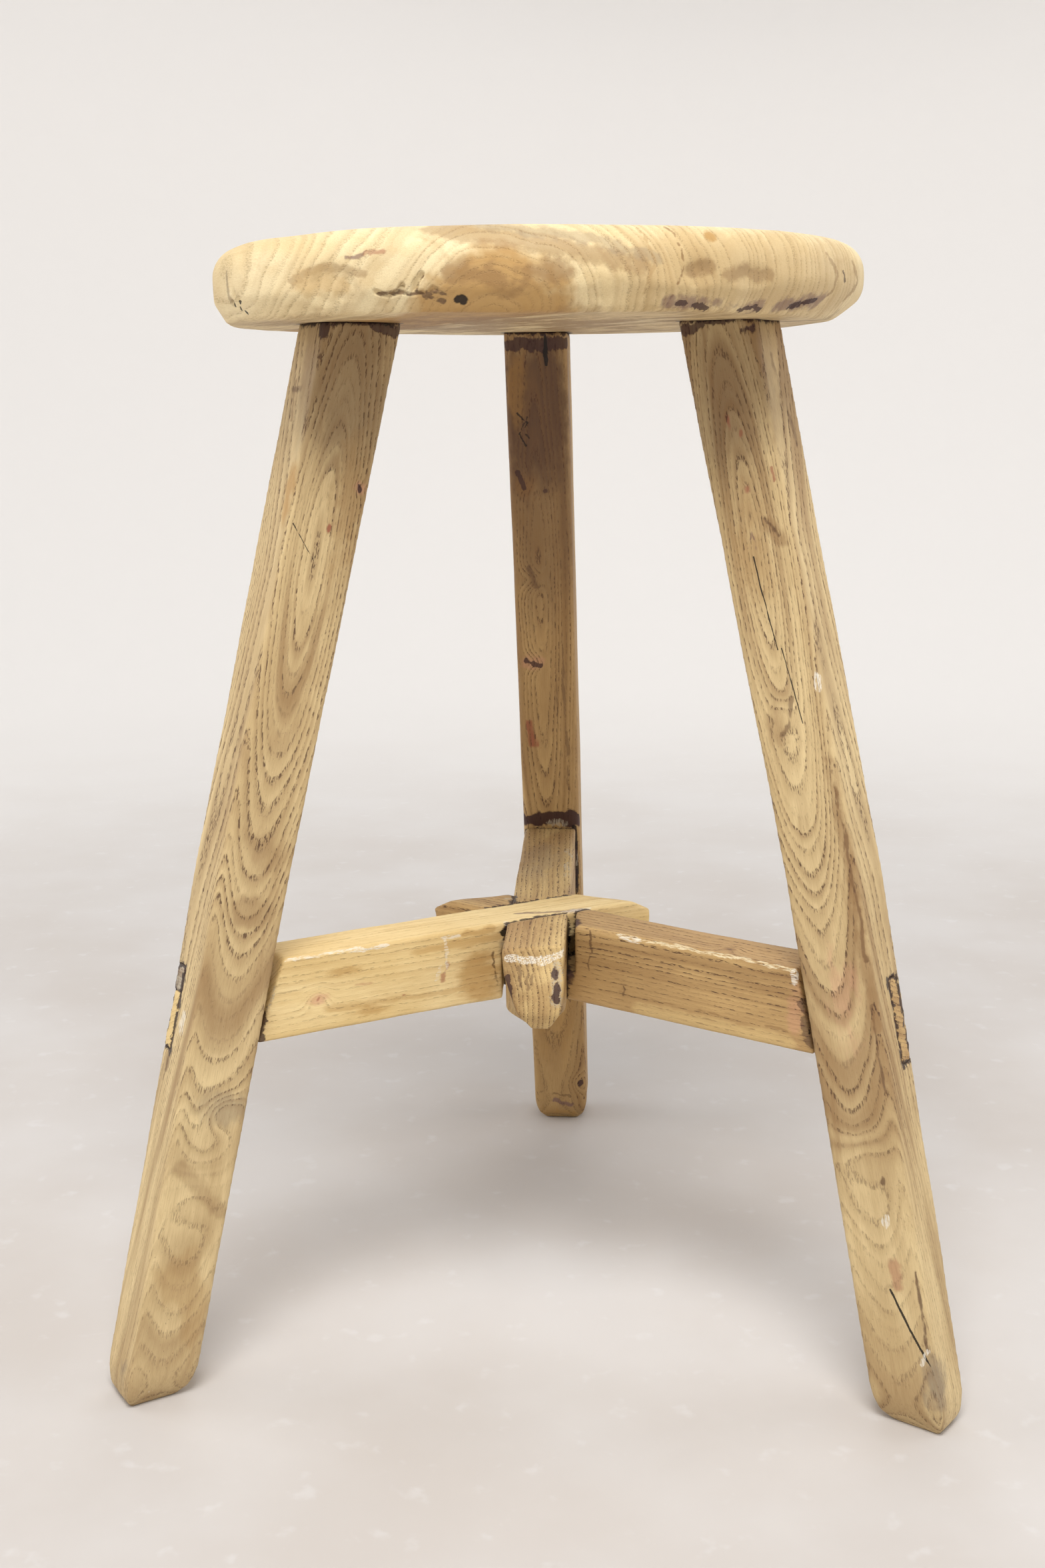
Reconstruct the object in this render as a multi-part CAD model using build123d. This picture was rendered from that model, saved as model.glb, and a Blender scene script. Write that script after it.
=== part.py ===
from build123d import *
from math import cos, radians, sin
import os

os.makedirs("parts", exist_ok=True)

# Three-legged round stool, in millimetres, +Z up. Angles are in plan, anticlockwise from +X;
# the sitter's front is -Y. The pieces are laid out about the stretchers' crossing and moved
# at the end so that the origin is the bottom centre of the whole stool's box.

# seat: a thick round board, worn round at the top edge and bevelled underneath
seat_centre = (1, -17)
seat_radius = 148
seat_thickness = 33
seat_edge_round = 13
seat_bevel_width = 5
seat_bevel_height = 9
under_seat = 485
seat_top = under_seat + seat_thickness

# legs: place of the leg's centre as (distance, angle) under the seat and on the floor,
# and its section as (depth along the radius, width across it) at the same two heights
left_top, left_foot, left_turn = (97, 211.5), (219, 214.5), 213.5
left_section_top, left_section_foot = (37.5, 30), (33.5, 29)
right_top, right_foot, right_turn = (101, 329), (223, 321.5), 325.5
right_section_top, right_section_foot = (38, 26), (34.5, 25)
back_top, back_foot, back_turn = (102, 92), (229, 88.5), 88.5
back_section_top, back_section_foot = (37, 32.5), (33, 32)
left_bow, right_bow, back_bow = 2, 4, 0
leg_corner = 2.5
foot_round = 4

# each leg's tenon through the seat
seat_tenon_depth = 24
seat_tenon_width = 18

# stretchers: upright bars that cross in a three-way halving, left over back over right
stretcher_top = 198.5
stretcher_height = 38
stretcher_width = 28.5
stretcher_bottom = stretcher_top - stretcher_height
third = stretcher_height / 3
under_top_third = stretcher_top - third
over_bottom_third = stretcher_bottom + third
left_angle, left_offset = 212, -1
right_angle, right_offset = 325.5, -1.4
back_angle, back_offset = 89.4, 1
back_rise = 3.5

# free ends: length past the crossing, how far the top drops at the tip, and over what length;
# the underside of every tip is drawn back a little
far_stub, far_drop, far_slope = 57, 5, 10
front_stub, front_drop, front_slope = 76, 30, 3
heel_cut = 3

# room cut for each crossing bar, and how much wider than it a loose notch is
notch_slack_left = 3.5
notch_slack_right = 5

# where each stretcher's shoulder stands off its leg, at the bar's top and bottom edge
left_shoulder = (145, 159.5)
right_shoulder = (153.5, 163.5)
back_shoulder = (158.5, 168.5)

# through tenons of the stretchers; the left one shares its mortise with a slip of wood
tenon_width = 8.2
left_tenon_shift = -1.7
tenon_reach = 260
slip_height = 12
tenon_root = 1

# cutting tools run past the wood by this much
overrun = 2


def at_angle(distance, angle):
    """A point in plan, given as a distance from the crossing and an angle."""
    return Vector(distance * cos(radians(angle)), distance * sin(radians(angle)))


def leg_centre(top, foot, height):
    """Centre of a leg at a height; the leg's line runs on through the seat."""
    up = height / under_seat
    return at_angle(*foot) * (1 - up) + at_angle(*top) * up


def section(centre, height, turn, depth, width, corner):
    """A level rectangle with rounded corners, turned so that its depth is radial."""
    place = Plane(origin=(centre.X, centre.Y, height)) * Rot(0, 0, turn)
    return place * RectangleRounded(depth, width, corner)


def leg_body(top, foot, turn, bow, section_top, section_foot):
    """A tapering leg, bowed outwards, with a level foot and a level shoulder against the seat."""
    foot_depth, foot_width = section_foot
    halfway = under_seat / 2
    middle = leg_centre(top, foot, halfway) + at_angle(bow, turn)
    middle_section = [(above + below) / 2 for above, below in zip(section_top, section_foot)]
    tread = section(leg_centre(top, foot, 0), 0, turn,
                    foot_depth - 2 * foot_round, foot_width - 2 * foot_round, leg_corner)
    ankle = section(leg_centre(top, foot, foot_round), foot_round, turn,
                    foot_depth, foot_width, leg_corner)
    waist = section(middle, halfway, turn, *middle_section, leg_corner)
    shoulder = section(leg_centre(top, foot, under_seat), under_seat, turn, *section_top, leg_corner)
    return loft([tread, ankle, waist, shoulder], ruled=True)


def seat_tenon(top, foot, turn):
    """The part of a leg that stands in the seat, on the leg's own slope."""
    ends = []
    for height in (under_seat, seat_top):
        centre = leg_centre(top, foot, height)
        place = Plane(origin=(centre.X, centre.Y, height)) * Rot(0, 0, turn)
        ends.append(place * Rectangle(seat_tenon_depth, seat_tenon_width))
    return loft(ends, ruled=True)


def upright_board(outline, angle, offset, width, shift=0):
    """An outline drawn as (distance along the bar, height), made as thick as a bar."""
    across = offset + shift
    face = make_face(Polyline(*outline, close=True))
    board = extrude(face, width / 2, both=True)
    stood = Rot(90, 0, 0) * board
    return Rot(0, 0, angle) * Pos(0, across, 0) * stood


def bar(angle, offset, shoulder, rise=0, stub=far_stub, drop=far_drop, slope=far_slope):
    """A stretcher's body from its shoulder, over the crossing, to its free end."""
    outline = [
        (-stub + heel_cut, stretcher_bottom),
        (shoulder[1], stretcher_bottom),
        (shoulder[0], stretcher_top + rise),
        (stretcher_width, stretcher_top),
        (-stub + slope, stretcher_top),
        (-stub, stretcher_top - drop),
    ]
    return upright_board(outline, angle, offset, stretcher_width)


def tenon(angle, offset, shoulder, shift, low=stretcher_bottom, high=stretcher_top):
    """A thin board that runs out through the leg; it is trimmed to the leg later."""
    root = shoulder[0] - tenon_root
    outline = [(root, low), (tenon_reach, low), (tenon_reach, high), (root, high)]
    return upright_board(outline, angle, offset, tenon_width, shift)


def level_slab(low, high):
    """A slab that covers the crossing between two heights."""
    side = 4 * front_stub
    return Pos(0, 0, (low + high) / 2) * Box(side, side, high - low)


def room_for(angle, offset, slack=0, side=0):
    """A plain bar right across the crossing, to cut room for a stretcher; any slack is on one side."""
    reach = 2 * front_stub
    outline = [
        (-reach, stretcher_bottom - overrun),
        (reach, stretcher_bottom - overrun),
        (reach, stretcher_top + overrun),
        (-reach, stretcher_top + overrun),
    ]
    return upright_board(outline, angle, offset, stretcher_width + slack, side * slack / 2)


def reach_through(board, leg):
    """The tenon board cut off flush with the outside of its leg."""
    clear_of_leg = (board - leg).solids().sort_by(lambda part: part.center().X**2 + part.center().Y**2)
    return (board & leg) + clear_of_leg[0]


# the three legs and their tenons in the seat
legs = {}
seat_tenons = []
for name, *shape in (
    ("left", left_top, left_foot, left_turn, left_bow, left_section_top, left_section_foot),
    ("right", right_top, right_foot, right_turn, right_bow, right_section_top, right_section_foot),
    ("back", back_top, back_foot, back_turn, back_bow, back_section_top, back_section_foot),
):
    in_seat = seat_tenon(*shape[:3])
    seat_tenons.append(in_seat)
    legs[name] = (leg_body(*shape), in_seat)

# the seat
rim = seat_radius
profile = make_face(
    Polyline(
        (0, under_seat),
        (rim - seat_bevel_width, under_seat),
        (rim, under_seat + seat_bevel_height),
        (rim, seat_top),
        (0, seat_top),
        close=True,
    )
)
top_corner = profile.vertices().sort_by(lambda v: v.X + v.Y)[-1]
profile = fillet(top_corner, seat_edge_round)
seat = Pos(*seat_centre, 0) * revolve(Rot(90, 0, 0) * profile, Axis.Z)
for in_seat in seat_tenons:
    seat -= in_seat

# the three bars before they are halved
left_bar = bar(left_angle, left_offset, left_shoulder)
right_bar = bar(right_angle, right_offset, right_shoulder)
back_bar = bar(back_angle, back_offset, back_shoulder, back_rise, front_stub, front_drop, front_slope)

# the halving: left bar on top, back bar in the middle, right bar at the bottom
over = level_slab(under_top_third, stretcher_top + back_rise + overrun)
under_left = level_slab(stretcher_bottom - overrun, under_top_third)
under_back = level_slab(stretcher_bottom - overrun, over_bottom_third)
over_right = level_slab(over_bottom_third, stretcher_top + overrun)
left_room = room_for(left_angle, left_offset)
right_room = room_for(right_angle, right_offset)
back_room_left = room_for(back_angle, back_offset, notch_slack_left, 1)
back_room_right = room_for(back_angle, back_offset, notch_slack_right, -1)

left_bar = left_bar - (right_room & under_left) - (back_room_left & under_left)
back_bar = back_bar - (left_room & over) - (right_room & under_back)
right_bar = right_bar - (left_room & over) - (back_room_right & over_right)


# tenons through the legs; the left one shares its mortise with a slip of wood above it
left_leg, left_in_seat = legs["left"]
right_leg, right_in_seat = legs["right"]
back_leg, back_in_seat = legs["back"]
slip_bottom = stretcher_top - slip_height
left_tenon = tenon(left_angle, left_offset, left_shoulder, left_tenon_shift, high=slip_bottom)
slip = tenon(left_angle, left_offset, left_shoulder, left_tenon_shift, low=slip_bottom)
right_tenon = tenon(right_angle, right_offset, right_shoulder, 0)
back_tenon = tenon(back_angle, back_offset, back_shoulder, 0)

pieces = {
    "seat": seat,
    "leg_left": left_leg - left_tenon - slip + left_in_seat,
    "leg_right": right_leg - right_tenon + right_in_seat,
    "leg_back": back_leg - back_tenon + back_in_seat,
    "stretcher_left": left_bar + reach_through(left_tenon, left_leg),
    "stretcher_right": right_bar + reach_through(right_tenon, right_leg),
    "stretcher_back": back_bar + reach_through(back_tenon, back_leg),
    "slip_left": slip & left_leg,
}

# the bottom centre of the whole stool's box becomes the origin
boxes = [piece.bounding_box() for piece in pieces.values()]
low_x, high_x = min(box.min.X for box in boxes), max(box.max.X for box in boxes)
low_y, high_y = min(box.min.Y for box in boxes), max(box.max.Y for box in boxes)
floor = min(box.min.Z for box in boxes)
home = Vector(-(low_x + high_x) / 2, -(low_y + high_y) / 2, -floor)
for name, piece in pieces.items():
    export_step(piece.moved(Location(home)), f"parts/{name}.step")
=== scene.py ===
from math import cos, pi, radians, sin

import bmesh
import bpy
import numpy as np
from mathutils import Matrix, Vector, noise
from mathutils.bvhtree import BVHTree


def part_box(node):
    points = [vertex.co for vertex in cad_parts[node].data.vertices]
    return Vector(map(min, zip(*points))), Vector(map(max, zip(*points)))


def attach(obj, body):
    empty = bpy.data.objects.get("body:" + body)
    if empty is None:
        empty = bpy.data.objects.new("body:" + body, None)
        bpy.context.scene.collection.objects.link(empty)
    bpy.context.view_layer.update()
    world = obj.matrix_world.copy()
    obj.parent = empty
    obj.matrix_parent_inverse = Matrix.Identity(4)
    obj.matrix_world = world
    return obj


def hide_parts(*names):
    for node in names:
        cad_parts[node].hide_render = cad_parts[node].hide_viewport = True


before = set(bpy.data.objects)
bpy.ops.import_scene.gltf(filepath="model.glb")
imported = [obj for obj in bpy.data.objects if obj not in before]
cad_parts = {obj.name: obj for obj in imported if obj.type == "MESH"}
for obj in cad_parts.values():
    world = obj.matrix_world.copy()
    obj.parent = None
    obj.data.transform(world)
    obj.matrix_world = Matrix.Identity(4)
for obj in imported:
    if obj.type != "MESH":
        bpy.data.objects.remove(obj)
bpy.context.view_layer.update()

MM = 0.001

# ---------------------------------------------------------------------------
# Driving dimensions, in millimetres and degrees. Pieces are laid out about the
# stretchers' crossing; angles are in plan, anticlockwise from +X, front is -Y.
# ---------------------------------------------------------------------------
seat_centre = Vector((1, -17, 0))
seat_radius = 148
under_seat = 485
stretcher_bottom = 160.5
stretcher_height = 38
half_bar = 14.25

# a leg's top and foot as (distance, angle), its turn, and its section (depth, width)
leg_shapes = {
    "leg_left": ((97, 211.5), (219, 214.5), 213.5, (37.5, 30), (33.5, 29)),
    "leg_right": ((101, 329), (223, 321.5), 325.5, (38, 26), (34.5, 25)),
    "leg_back": ((102, 92), (229, 88.5), 88.5, (37, 32.5), (33, 32)),
}
# a stretcher's direction and how far it stands to the side of the crossing
bar_shapes = {
    "stretcher_left": (212, -1),
    "stretcher_right": (325.5, -1.4),
    "stretcher_back": (89.4, 1),
    "slip_left": (212, -1),
}
seat_grain = -65

# foot: how high and how far its lower corners are drawn in
foot_rise, foot_inset = 17, 4.5
# front stub: it tapers between these distances from the crossing, and its tip is skewed
taper_start, front_tip, tip_skew = 42, 76, 9
# far stubs: the side away from the front curves in towards the tip and drops a little
curve_start, lip_start, far_tip, curve_depth, lip_drop = 18, 34, 57, 15, 3
# the back stretcher's top rises a little towards its leg
back_rise = 1.5

# size of the small faces that each kind of piece is worked in
leg_fineness, bar_fineness, slip_fineness, seat_fineness = 1.2, 1.0, 0.7, 1.5
# how far a rubbed surface is brought back out, and the loss that counts as fully worn
swell, full_wear = 0.35, 0.6
# how far from a neighbour old lacquer stays in a joint
residue_reach = 6

seat_low, seat_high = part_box("seat")
crossing = (seat_low + seat_high) / 2 / MM - seat_centre
crossing.z = 0


def at_angle(distance, angle, height=0):
    """A point given as its distance and angle in plan, and its height."""
    return Vector((distance * cos(radians(angle)), distance * sin(radians(angle)), height))


def placed(origin, along, outward):
    """A piece's own frame in millimetres: z along the grain, x outward, y across."""
    z = along.normalized()
    x = (outward - z * outward.dot(z)).normalized()
    y = z.cross(x)
    frame_of_piece = Matrix((x, y, z)).transposed().to_4x4()
    frame_of_piece.translation = origin + crossing
    return frame_of_piece


def leg_place(name):
    """A leg's frame: origin at the middle of its foot, x towards the outside of the stool."""
    top, foot, turn = leg_shapes[name][:3]
    tread = at_angle(*foot)
    return placed(tread, at_angle(*top, under_seat) - tread, at_angle(1, turn))


def bar_place(name):
    """A stretcher's frame: origin at the crossing, level with its bottom, y up, z to its leg."""
    angle, offset = bar_shapes[name]
    side = at_angle(1, angle + 90)
    return placed(side * offset + Vector((0, 0, stretcher_bottom)), at_angle(1, angle), side)


def seat_place():
    """The seat's frame: origin at the middle of its underside, z along the grain, y up."""
    underside = seat_centre + Vector((0, 0, under_seat))
    return placed(underside, at_angle(1, seat_grain), at_angle(1, seat_grain + 90))


# ---------------------------------------------------------------------------
# Camera, floor and light
# ---------------------------------------------------------------------------
eye = Vector((28.7, -910.4, 451.9))
pitch, yaw, roll = radians(11.71), radians(-2.366), radians(-0.424)
camera_data = bpy.data.cameras.new("camera")
camera_data.sensor_width = 36
camera_data.lens = 42.86
camera_data.clip_start, camera_data.clip_end = 0.01, 50
camera = bpy.data.objects.new("camera", camera_data)
bpy.context.scene.collection.objects.link(camera)
bpy.context.scene.camera = camera
forward = Vector((sin(yaw) * cos(pitch), cos(yaw) * cos(pitch), -sin(pitch)))
level_right = Vector((cos(yaw), -sin(yaw), 0))
level_up = level_right.cross(forward)
right = level_right * cos(roll) + level_up * sin(roll)
up = level_up * cos(roll) - level_right * sin(roll)
stand = Matrix((right, up, -forward)).transposed().to_4x4()
stand.translation = (eye + crossing) * MM
camera.matrix_world = stand

scene = bpy.context.scene
scene.view_settings.view_transform = "Standard"
world = bpy.data.worlds.new("studio")
scene.world = world
world.use_nodes = True
world.node_tree.nodes["Background"].inputs["Color"].default_value = (0.97, 0.98, 1.0, 1)
world.node_tree.nodes["Background"].inputs["Strength"].default_value = 0.38


def softbox(name, place, aim, size, power, colour=(1, 1, 1)):
    """A square studio light that faces a point."""
    lamp = bpy.data.lights.new(name, "AREA")
    lamp.shape = "SQUARE"
    lamp.size = size
    lamp.energy = power
    lamp.color = colour
    holder = bpy.data.objects.new(name, lamp)
    scene.collection.objects.link(holder)
    holder.location = place
    holder.rotation_euler = (Vector(aim) - Vector(place)).to_track_quat("-Z", "Y").to_euler()


middle = (0, 0, 0.25)
softbox("overhead_front", (0.0, -1.05, 1.9), middle, 0.9, 32, (1, 0.99, 0.97))
softbox("left_side", (-1.9, 0.1, 1.0), middle, 1.1, 9)
softbox("right_side", (1.9, 0.1, 1.1), middle, 1.1, 8)
softbox("behind", (0.2, 1.7, 1.9), (0, 0.3, 0.3), 1.4, 8)

# a round studio floor that curves up into its wall
floor_radius, sweep_radius, wall_height = 2.6, 0.9, 2.4
sweep_steps, round_steps = 12, 96
sweep = bmesh.new()
profile = [sweep.verts.new((0, 0, 0)), sweep.verts.new((floor_radius - sweep_radius, 0, 0))]
for step in range(1, sweep_steps + 1):
    turn = pi / 2 * step / sweep_steps
    profile.append(
        sweep.verts.new(
            (floor_radius - sweep_radius + sweep_radius * sin(turn), 0, sweep_radius * (1 - cos(turn)))
        )
    )
profile.append(sweep.verts.new((floor_radius, 0, wall_height)))
for a, b in zip(profile, profile[1:]):
    sweep.edges.new((a, b))
bmesh.ops.spin(
    sweep,
    geom=list(sweep.verts) + list(sweep.edges),
    cent=(0, 0, 0),
    axis=(0, 0, 1),
    angle=2 * pi,
    steps=round_steps,
    use_merge=True,
)
bmesh.ops.remove_doubles(sweep, verts=sweep.verts, dist=1e-5)
bmesh.ops.recalc_face_normals(sweep, faces=sweep.faces)
bmesh.ops.reverse_faces(sweep, faces=sweep.faces)
for face in sweep.faces:
    face.smooth = True
floor_mesh = bpy.data.meshes.new("studio_floor")
sweep.to_mesh(floor_mesh)
sweep.free()
studio_floor = bpy.data.objects.new("studio_floor", floor_mesh)
scene.collection.objects.link(studio_floor)


# ---------------------------------------------------------------------------
# Finishes
# ---------------------------------------------------------------------------
class Value:
    """A node's output; sums and products of these add Math nodes."""

    def __init__(self, finish, socket):
        self.finish, self.socket = finish, socket

    def __add__(self, other):
        return self.finish.math("ADD", self, other)

    def __sub__(self, other):
        return self.finish.math("SUBTRACT", self, other)

    def __mul__(self, other):
        return self.finish.math("MULTIPLY", self, other)

    def __truediv__(self, other):
        return self.finish.math("DIVIDE", self, other)

    __radd__, __rmul__ = __add__, __mul__


def tint(red, green, blue):
    """A colour as the eye sees it, turned into the light that it reflects."""
    return (*(((c + 0.055) / 1.055) ** 2.4 if c > 0.04 else c / 12.92 for c in (red, green, blue)), 1)


class Finish:
    """A material that is built up by adding nodes."""

    def __init__(self, name):
        self.material = bpy.data.materials.new(name)
        self.material.use_nodes = True
        self.tree = self.material.node_tree
        self.tree.nodes.clear()

    def node(self, kind, settings, inputs, output=0):
        """Adds a node: its settings first, then the values or links of its sockets."""
        added = self.tree.nodes.new("ShaderNode" + kind)
        for key, value in settings.items():
            setattr(added, key, value)
        for key, value in inputs.items():
            if isinstance(value, Value):
                self.tree.links.new(value.socket, added.inputs[key])
            else:
                added.inputs[key].default_value = value
        return Value(self, added.outputs[output]) if len(added.outputs) else None

    def math(self, operation, a, b=0.0, clamp=False):
        return self.node("Math", {"operation": operation, "use_clamp": clamp}, {0: a, 1: b})

    def vector(self, operation, a, b=(0, 0, 0), output=0):
        return self.node("VectorMath", {"operation": operation}, {0: a, 1: b}, output)

    def stretched(self, where, scale):
        """A place whose three lengths are each scaled, for noise with features of a given size."""
        return self.node("Mapping", {}, {"Vector": where, "Scale": scale})

    def noise(self, where, detail=2.0, rough=0.5, twist=0.0, output=0):
        """Noise with features one unit apart, from 0 to 1."""
        sockets = {"Vector": where, "Scale": 1.0, "Detail": detail, "Roughness": rough, "Distortion": twist}
        return self.node("TexNoise", {}, sockets, output)

    def ramp(self, value, low, high, at_low=0.0, at_high=1.0):
        """Goes smoothly from at_low to at_high as the value goes from low to high."""
        sockets = {"Value": value, "From Min": low, "From Max": high, "To Min": at_low, "To Max": at_high}
        return self.node("MapRange", {"interpolation_type": "SMOOTHSTEP"}, sockets)

    def mix(self, amount, under, over):
        """Lays one colour over another."""
        return self.node("Mix", {"data_type": "RGBA"}, {0: amount, 6: under, 7: over}, 2)


def finish_floor():
    """Pale painted boards with a faint cloudiness."""
    f = Finish("pale_floor")
    where = f.node("TexCoord", {}, {}, 3)
    cloud = f.noise(f.vector("MULTIPLY", where, (5, 5, 5)), 5)
    fleck = f.noise(f.vector("MULTIPLY", where, (60, 60, 60)), 3)
    colour = f.mix(f.ramp(cloud, 0.3, 0.7), tint(0.775, 0.75, 0.73), tint(0.81, 0.795, 0.785))
    colour = f.mix(f.ramp(fleck, 0.6, 0.75, 0, 0.35), colour, tint(0.85, 0.845, 0.845))
    away = f.vector("LENGTH", where, output=1)
    colour = f.mix(f.ramp(away, 0.5, 1.9), colour, tint(0.955, 0.945, 0.935))
    bsdf = f.node("BsdfPrincipled", {}, {"Base Color": colour, "Roughness": 0.85, "Specular IOR Level": 0.2})
    f.node("OutputMaterial", {}, {0: bsdf})
    return f.material


floor_mesh.materials.append(finish_floor())

paint = {
    "ivory": tint(0.93, 0.86, 0.69),
    "wheat": tint(0.88, 0.79, 0.60),
    "flax": tint(0.77, 0.67, 0.49),
    "straw": tint(0.94, 0.85, 0.64),
    "honey": tint(0.88, 0.77, 0.54),
    "tan": tint(0.78, 0.65, 0.44),
    "fawn": tint(0.69, 0.56, 0.37),
    "amber": tint(0.70, 0.53, 0.28),
    "brown": tint(0.52, 0.38, 0.23),
    "umber": tint(0.34, 0.24, 0.18),
    "grey": tint(0.58, 0.52, 0.43),
    "lacquer": tint(0.24, 0.14, 0.14),
    "black": tint(0.09, 0.06, 0.05),
    "red": tint(0.60, 0.28, 0.22),
    "pink": tint(0.82, 0.60, 0.50),
    "violet": tint(0.45, 0.34, 0.35),
    "chalk": tint(0.93, 0.91, 0.86),
    "cream": tint(0.93, 0.88, 0.74),
    "putty": tint(0.72, 0.68, 0.60),
}


COVERINGS = ("black", "lacquer", "chalk", "cream", "putty")


def lay_marks(f, colour, at, shifted, marks, streak):
    """Lays marks over a colour: stains and painted shade soak in softly, coverings have torn edges."""
    torn = f.noise(f.stretched(shifted, (0.35, 0.35, 0.16)), 4.0, 0.62)
    points_at = {}
    # thin lines hardly waver, and broad patches drift a long way from their outline
    drifts = ((0, (0.3, 0.3, 0.15), 0.7), (1, (0.14, 0.14, 0.07), 5), (2, (0.05, 0.05, 0.024), 22))
    for key, step, size in drifts:
        drift = f.noise(f.stretched(shifted, step), 3.0, 0.6, 0.0, 1)
        drift = f.vector("SUBTRACT", drift, (0.5, 0.5, 0.5))
        points_at[key] = f.vector("ADD", at, f.vector("MULTIPLY", drift, (size, size, size * 1.6)))
    thread = f.noise(f.stretched(shifted, (1.5, 1.5, 0.22)), 2.0, 0.6)
    wisps = f.ramp(thread, 0.36, 0.60, 0.0, 1.0)
    hollow = torn * 0.0
    for shade, strength, points, radius, ragged in marks:
        size = radius if isinstance(radius, tuple) else (radius,) * 3
        typical = sorted(size)[1]
        point = points_at[0 if ragged <= 0.25 and typical < 2 else 2 if typical > 4.5 else 1]
        shrink = [1 / s for s in size]
        point = f.vector("MULTIPLY", point, tuple(shrink))
        near = None
        for stops in points if isinstance(points[0], list) else [points]:
            stops = [Vector([c * k for c, k in zip(stop, shrink)]) for stop in stops]
            for start, end in zip(stops, stops[1:] or stops):
                run = end - start
                gap = f.vector("SUBTRACT", point, tuple(start))
                if run.length > 0:
                    along = f.vector("DOT_PRODUCT", gap, tuple(run / run.length_squared), 1)
                    along = f.math("MULTIPLY", along, 1.0, True)
                    line = f.node("VectorMath", {"operation": "SCALE"}, {0: tuple(run), "Scale": along})
                    gap = f.vector("SUBTRACT", gap, line)
                part = f.vector("LENGTH", gap, output=1)
                near = part if near is None else f.math("MINIMUM", near, part)
        if streak is None:
            edge = near + (torn - 0.5) * (2.4 * ragged + 0.2)
            mask = f.ramp(edge, 0.82, 1.12, strength, 0.0)
            if shade in ("chalk", "cream", "putty"):
                mask = mask * wisps * 0.85
        else:
            edge = near + (torn - 0.5) * (1.6 * ragged + 0.4) + (streak - 0.5) * 0.7
            mask = f.ramp(edge, 0.45, 1.3, strength, 0.0)
        colour = f.mix(mask, colour, paint[shade])
        if shade in ("black", "lacquer"):
            hollow = f.math("MAXIMUM", hollow, mask)
    return colour, hollow


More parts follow.
